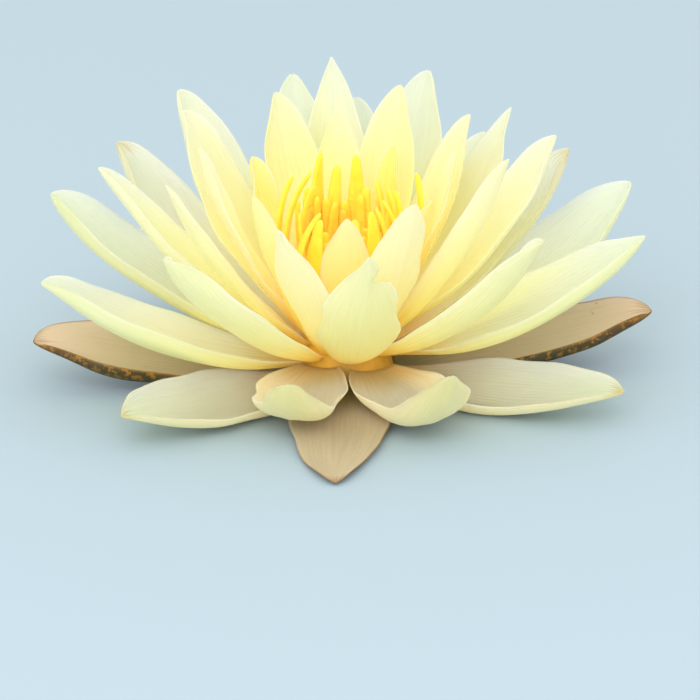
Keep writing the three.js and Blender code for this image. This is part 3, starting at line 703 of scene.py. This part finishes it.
# Each inner petal carries a faint painted glow: emission on its lower part, mostly on the inner face.
INNER_SKIN = blade_skin(
    "inner_petal_skin", ("#ffcc4a", "#fff090", "#fff49c"), ("#ffd752", "#fdee7c", "#fbf08a"),
    "#fdf298", flush="#ffe040", root_end=0.5, painted_glow=0.25,
)[0]
INNER_PETALS = {
    1: dict(azimuth=7, seat=13.9, length=50, rise=68, width=11.5, roll=3, curl_back=5),
    2: dict(azimuth=29.8, seat=12.8, length=59, rise=63.5, roll=3),
    3: dict(azimuth=45, seat=14.8, length=45, rise=80, width=13, root=3.8, blush=0.8),
    4: dict(azimuth=63.4, seat=13.3, length=61, rise=69.5, width=19, blush=0.1),
    5: dict(azimuth=98, seat=15, length=53, rise=84, width=16, point=0.8),
    6: dict(azimuth=120, seat=13.3, length=60, rise=65, width=19, blush=0.15),
    7: dict(
        azimuth=160.5, seat=13.6, root=3.2, length=46, rise=71, width=16.5, cup=24, point=0.5,
        blush=0.7,
    ),
    8: dict(azimuth=226, seat=11.8, length=50.5, rise=63.5, width=11),
    9: dict(azimuth=271, seat=12.6, length=43, rise=67, width=13.5, point=0.85),
    10: dict(
        azimuth=331, seat=15.1, root=3.4, length=40, rise=67.5, width=11.5, cup=20, point=0.5,
        curl_on=5, blush=0.5,
    ),
}
for number, own in INNER_PETALS.items():
    own = dict(wave=0.3, thick=0.55, **own)
    blade(f"petal_inner_{number}", "inner", INNER_SKIN, "inner_petal_skin", **own)


# ---------------------------------------------------------------- stamens
# Flat fleshy straps in three rings on one collar. The outer ones are broad and petal-like, and each
# carries two long pollen sacs on its inner face below a blunt tip.

COLLAR = (5.4, 8.7, 1.6)  # inner and outer radius, height
COLLAR_SIDES = 64
STAMEN_SEAT = SHOULDER_HEIGHT + SEAT_CLEARANCE
STAMEN_SINK = 1  # how deep a root reaches into the collar
STAMENS = {  # ring radius: azimuth, length, width, lean, inward, sway, twist of each strap
    7.7: (
        (30, 30, 4.2, 84, 8, 0.1, -10), (75, 40, 6.6, 85, 9, 0, -5), (110, 37, 5.6, 85, 7, -0.1, 10),
        (131, 41, 8, 84, 11, -0.1, -10), (150, 33, 5.2, 84, 8, 0, 10), (166, 31, 5, 82, 12, 0.1, -12),
        (194, 43, 4.2, 80, 34, 0.2, 35), (198, 44, 6.4, 86, 38, 0.2, 45),
        (212, 30, 5.2, 80, 14, -0.1, 10), (234, 33, 7.6, 73, 16, 0.3, 5),
        (253, 24, 4.6, 78, 10, -0.1, 8), (271, 25, 5, 76, 12, 0.1, -6), (291, 26, 4.6, 78, 12, 0, 10),
        (306, 34, 7.2, 76, 12, -0.2, -5), (329, 34, 4.8, 82, 30, -0.3, -20),
        (340, 30, 4.8, 82, 14, 0, 12), (352, 36, 3.9, 81, 23, -0.1, -30),
        (353, 41, 3.7, 75, 31, 0.2, -35),
    ),
    6.9: (
        (8, 34, 3.4, 82, 28, 0.2, -15), (35, 28, 4.4, 84, 12, 0, 12), (62, 30, 3.6, 87, 4, 0, -10),
        (65, 32, 6, 85, 7, -0.1, 0), (90, 28, 4.8, 85, 6, 0, -8), (112, 29, 4.8, 85, 8, 0.1, 8),
        (135, 30, 5, 84, 8, 0, -10), (155, 28, 3.8, 83, 12, -0.1, 10), (170, 28, 4.8, 84, 12, 0, 10),
        (185, 36, 4.8, 88, 25, 0, 30), (215, 36, 4.6, 78, 40, 0.5, 20),
        (235, 26, 4.6, 82, 14, 0.1, -10), (262, 22, 3.6, 80, 16, 0, -12),
        (290, 26, 4.6, 82, 14, -0.1, 8), (320, 25, 3.6, 80, 18, -0.1, 10),
        (344, 36, 4.6, 83, 39, -0.2, -25),
    ),
    6.2: (
        (0, 23, 3.8, 84, 18, 0, 12), (12, 35, 3.8, 85, 22, 0.3, 20), (50, 22, 3, 88, 6, -0.1, -10),
        (93, 26, 3.4, 85, 9, 0, 15), (117, 28, 5, 86, 7, -0.1, -10), (158, 25, 4, 86, 8, 0, 8),
        (200, 23, 3.2, 84, 16, 0.1, -8), (240, 22, 3.2, 82, 18, 0.2, 8), (265, 24, 4, 82, 14, 0, -8),
        (286, 32, 4.2, 75, 18, -0.1, 10), (330, 25, 4, 84, 12, 0, -8),
    ),
}
STAMEN_THICKNESS = 1.3
STAMEN_TIP_WIDTH = 2
STRAP_SWELL = (  # share of the length, share by which a strap is wider there than at its tip
    (0, 0.5), (0.18, 0.92), (0.35, 1), (0.5, 0.92), (0.65, 0.66), (0.8, 0.36), (0.94, 0.1), (1, 0),
)
STRAP_TIP = 0.95  # share of the length from which the end is rounded off
STRAP_BLUNT = 1.002  # where that rounding would close, just past the end
STRAP_ROWS, STRAP_SIDES = 34, 20
SAC_HEIGHT = 0.2
SAC_WIDTH = 0.22  # as a share of half the strap's width


def strap(length, width, lean, inward, sway, twist):
    """A tube with a flat oval section carried up a line that curves inward by inward(2u-1). Two
    sacs stand out of its inner face between a third and five sixths of its length."""
    u = np.sin(np.linspace(0, np.pi / 2, STRAP_ROWS))
    between = (u[1:] + u[:-1]) / 2
    rise = np.radians(lean + inward * (2 * between - 1))
    step = length * np.diff(u)
    steps = np.stack([step * np.cos(rise), step * sway * between, step * np.sin(rise)], axis=-1)
    middle = np.vstack([np.zeros(3), np.cumsum(steps, axis=0)])
    ending = np.sqrt(1 - (np.maximum(u - STRAP_TIP, 0) / (STRAP_BLUNT - STRAP_TIP)) ** 2)
    swell = np.interp(u, *np.array(STRAP_SWELL).T)
    breadth = (STAMEN_TIP_WIDTH + (width - STAMEN_TIP_WIDTH) * swell) / 2 * ending
    angle = np.linspace(0, 2 * np.pi, STRAP_SIDES, endpoint=False)
    sac = soft_step(u, 0.3, 0.42) * (1 - soft_step(u, 0.72, 0.86))
    side, front = np.cos(angle), np.sin(angle)
    lobes = np.maximum(front, 0) ** 0.5 * np.exp(-(((np.abs(side) - 0.5) / SAC_WIDTH) ** 2))
    wide = breadth[:, None] * side
    deep = STAMEN_THICKNESS / 2 * ending[:, None] * np.sign(front) * np.abs(front) ** 0.8
    deep = deep + SAC_HEIGHT * sac[:, None] * lobes
    turn = np.radians(twist * u)
    across = np.stack([np.sin(turn), np.cos(turn), np.zeros(STRAP_ROWS)], axis=-1)
    bend = np.radians(lean + inward * (2 * u - 1))
    inside = np.stack([-np.sin(bend), np.zeros(STRAP_ROWS), np.cos(bend)], axis=-1)
    ring = middle[:, None] + wide[..., None] * across[:, None] + deep[..., None] * inside[:, None]
    marks = np.stack(np.broadcast_arrays(side, u[:, None], sac[:, None] * lobes), axis=-1)
    points = np.vstack([ring.reshape(-1, 3), middle[:1], middle[-1:]])
    marks = np.vstack([marks.reshape(-1, 3), [[0, 0, 0], [0, 1, 0]]])
    top, low, high = (STRAP_ROWS - 1) * STRAP_SIDES, len(points) - 2, len(points) - 1
    quads = grid_quads(STRAP_ROWS, STRAP_SIDES, closed=True)[:, ::-1]
    caps = np.vstack([cap(low, 0, STRAP_SIDES), cap(high, top, STRAP_SIDES, flip=True)])
    return points, marks, quads, caps


def stamen_skin():
    """Deep yellow, a little darker and more orange towards the root, with grainy pollen sacs. A faint
    painted glow, an orange emission, lies over all of it.
    """
    skin, tree, shader = new_skin(
        "stamen_straps", Roughness=0.5, Subsurface_Weight=0.9, Subsurface_Scale=0.004,
        Subsurface_Radius=GOLDEN_SPREAD, Specular_IOR_Level=0.35, Sheen_Weight=0.1,
        # Painted glow: a faint orange emission over the whole crown.
        Emission_Color=pigment("#f2ae1c"), Emission_Strength=0.09,
    )
    across, along, sac = marked(tree, "span")
    place = node(tree, "ShaderNodeTexCoord").outputs["Object"]
    grain = clouds(tree, place, 1100.0, 3.0, 0.6)
    blotch = clouds(tree, place, 240.0, 2.0, 0.5)
    body = mixed(tree, ease(tree, blotch, 0.3, 0.7), pigment("#ffd23e"), pigment("#ffdf52"))
    body = mixed(tree, ease(tree, along, 0.0, 0.35), pigment("#fbc840"), body)
    body = mixed(tree, ease(tree, along, 0.82, 1.0, 0.0, 0.7), body, pigment("#ffd84a"))
    dusted = mixed(tree, ease(tree, grain, 0.4, 0.6), pigment("#fbd044"), pigment("#ffdf58"))
    colour = mixed(tree, ease(tree, sac, 0.05, 0.5), body, dusted)
    tree.links.new(colour, shader.inputs["Base Color"])
    furrow = clouds(tree, stretched(tree, across, 6.0, along, 3.0, blotch), 1.0, 3.0, 0.5)
    height = calc(tree, "ADD", furrow, calc(tree, "MULTIPLY", grain, 0.3))
    raise_surface(tree, shader, height, 0.15, 0.0004)
    return skin


def stamens():
    """All straps of the three rings, with the collar as a turned ring under them."""
    inner, outer, height = COLLAR
    angle = np.linspace(0, 2 * np.pi, COLLAR_SIDES, endpoint=False)
    outline = np.array([(inner, 0), (inner, height), (outer, height), (outer, 0)])
    radius, level = outline.T[:, :, None]
    collar = np.broadcast_arrays(radius * np.cos(angle), radius * np.sin(angle), level)
    collar = np.stack(collar, axis=-1)
    k = np.arange(COLLAR_SIDES)
    beside, last = (k + 1) % COLLAR_SIDES, 3 * COLLAR_SIDES
    seam = np.stack([last + k, k, beside, last + beside], axis=-1)
    count = 4 * COLLAR_SIDES
    points, marks = [collar.reshape(-1, 3)], [np.zeros((count, 3))]
    faces = grid_quads(4, COLLAR_SIDES, closed=True)[:, ::-1].tolist() + seam.tolist()
    for ring_radius, straps in STAMENS.items():
        for azimuth, *shape in straps:
            strap_points, strap_marks, strap_quads, caps = strap(*shape)
            strap_points = strap_points + [ring_radius, 0, height - STAMEN_SINK]
            points.append(turned(strap_points, azimuth))
            marks.append(strap_marks)
            faces += (strap_quads + count).tolist() + (caps + count).tolist()
            count += len(strap_points)
    points, span = np.vstack(points) + [0, 0, STAMEN_SEAT], np.vstack(marks)
    grown("stamen_crown", points, faces, stamen_skin(), "stamens", "stamen_straps", span=span)


stamens()


# ---------------------------------------------------------------- stigma disc
# A shallow dish inside the crown of stamens. Each ray is one carpel's ridge and ends in a small
# point on the rim, and a knob stands in the middle.

DISC_RADIUS, DISC_BASE, DISC_RIM = 4.9, 0.7, 2.2
DISC_SIDES, DISC_RINGS = 144, 30
DISC_MIDDLE = 0.03  # share of the radius at which the innermost ring of points lies
RAYS, RAY_HEIGHT, RAY_POINT = 12, 0.3, 0.4
KNOB_HEIGHT, KNOB_RADIUS = 1.2, 1.1


def stigma_surface():
    """Velvety golden tissue with pale down, brighter on the rim's points and the knob."""
    skin, tree, shader = new_skin(
        "stigma_surface", Roughness=0.6, Subsurface_Weight=0.4, Subsurface_Scale=0.001,
        Subsurface_Radius=GOLDEN_SPREAD, Sheen_Weight=0.3,
    )
    place = node(tree, "ShaderNodeTexCoord").outputs["Object"]
    height = node(tree, "ShaderNodeSeparateXYZ", place).outputs[2]
    down = clouds(tree, place, 2600.0, 3.0, 0.7)
    tall = ease(tree, height, 0.0172, 0.0192)
    colour = mixed(tree, tall, pigment("#f2bf3a"), pigment("#fbdc5c"))
    colour = mixed(tree, ease(tree, down, 0.4, 0.7, 0.0, 0.4), colour, pigment("#fff0a0"))
    tree.links.new(colour, shader.inputs["Base Color"])
    raise_surface(tree, shader, down, 0.5, 0.0003)
    return skin


def stigma_disc():
    """The top rises from its middle to its rim with the square of the radius, the knob is a bell
    curve, and the rays are a cosine of the angle that swells towards the rim."""
    share = np.concatenate([np.linspace(DISC_MIDDLE, 1, DISC_RINGS), [1.0]])
    angle = np.linspace(0, 2 * np.pi, DISC_SIDES, endpoint=False)
    ray = np.cos(RAYS * angle)
    dish = DISC_BASE + (DISC_RIM - DISC_BASE) * share**2
    knob = KNOB_HEIGHT * np.exp(-((share * DISC_RADIUS / KNOB_RADIUS) ** 2))
    ridge = RAY_HEIGHT * np.sin(np.pi * share * 0.75) + RAY_POINT * share**8
    height = (dish + knob)[:, None] + ridge[:, None] * ray
    height[-1] = 0
    x = DISC_RADIUS * share[:, None] * np.cos(angle)
    y = DISC_RADIUS * share[:, None] * np.sin(angle)
    ring = np.stack([x, y, height], axis=-1).reshape(-1, 3)
    points = np.vstack([ring, [[0, 0, DISC_BASE + KNOB_HEIGHT], [0, 0, 0]]]) + [0, 0, STAMEN_SEAT]
    faces = grid_quads(len(share), DISC_SIDES, closed=True)[:, ::-1].tolist()
    last = (len(share) - 1) * DISC_SIDES
    faces += cap(len(ring), 0, DISC_SIDES).tolist()
    faces += cap(len(ring) + 1, last, DISC_SIDES, flip=True).tolist()
    grown("stigma_dish", points, faces, stigma_surface(), "stigma_disc", "stigma_surface")


stigma_disc()


# ---------------------------------------------------------------- floor, light and camera
# A plain pale floor under an even white sky. One large soft lamp stands in front, raised and a
# little to the left, and the camera looks slightly down on the flower from far away.

FLOOR_SIZE = 12.0
SKY_STRENGTH = 1.1
LAMP_SIZE, LAMP_POWER = 1.4, 18
LAMP_PLACE = (-0.25, -1.5, 1.0)
LAMP_TILT, LAMP_TURN = np.radians(56), np.radians(-9)
CAMERA_RISE = np.radians(19.3)
CAMERA_DISTANCE = 1.6
AIM = (0.00129, 0.0, 0.00763)
LENS_SHARE = 6220 / 700  # focal length over the width of the frame


def floor():
    """One flat square."""
    half = FLOOR_SIZE / 2
    corners = [(-half, -half, 0), (half, -half, 0), (half, half, 0), (-half, half, 0)]
    mesh = bpy.data.meshes.new("floor")
    mesh.from_pydata(corners, [], [(0, 1, 2, 3)])
    mesh.materials.append(new_skin("floor_paint", Roughness=0.7, Base_Color=pigment("#adc1cb"))[0])
    piece = bpy.data.objects.new("floor", mesh)
    bpy.context.collection.objects.link(piece)


def sky_and_lamp():
    """An even white sky, and a square lamp whose face looks down at the flower."""
    world = bpy.data.worlds.new("sky")
    bpy.context.scene.world = world
    world.use_nodes = True
    sky = world.node_tree.nodes["Background"].inputs
    sky["Color"].default_value = (1.0, 1.0, 1.0, 1.0)
    sky["Strength"].default_value = SKY_STRENGTH
    glow = bpy.data.lights.new("soft_key", "AREA")
    glow.size = LAMP_SIZE
    glow.energy = LAMP_POWER
    lamp = bpy.data.objects.new("soft_key", glow)
    lamp.location = LAMP_PLACE
    lamp.rotation_euler = (LAMP_TILT, 0, LAMP_TURN)
    bpy.context.collection.objects.link(lamp)
    bpy.context.scene.view_settings.view_transform = "Standard"


def camera():
    """Looks level along the Y axis but for its rise, at a point just above the flower's foot."""
    lens = bpy.data.cameras.new("camera")
    lens.lens = LENS_SHARE * lens.sensor_width
    lens.clip_start = 0.05
    lens.clip_end = 50
    eye = bpy.data.objects.new("camera", lens)
    back, up = CAMERA_DISTANCE * np.cos(CAMERA_RISE), CAMERA_DISTANCE * np.sin(CAMERA_RISE)
    eye.location = (AIM[0], AIM[1] - back, AIM[2] + up)
    eye.rotation_euler = (np.pi / 2 - CAMERA_RISE, 0, 0)
    bpy.context.collection.objects.link(eye)
    bpy.context.scene.camera = eye


floor()
sky_and_lamp()
camera()
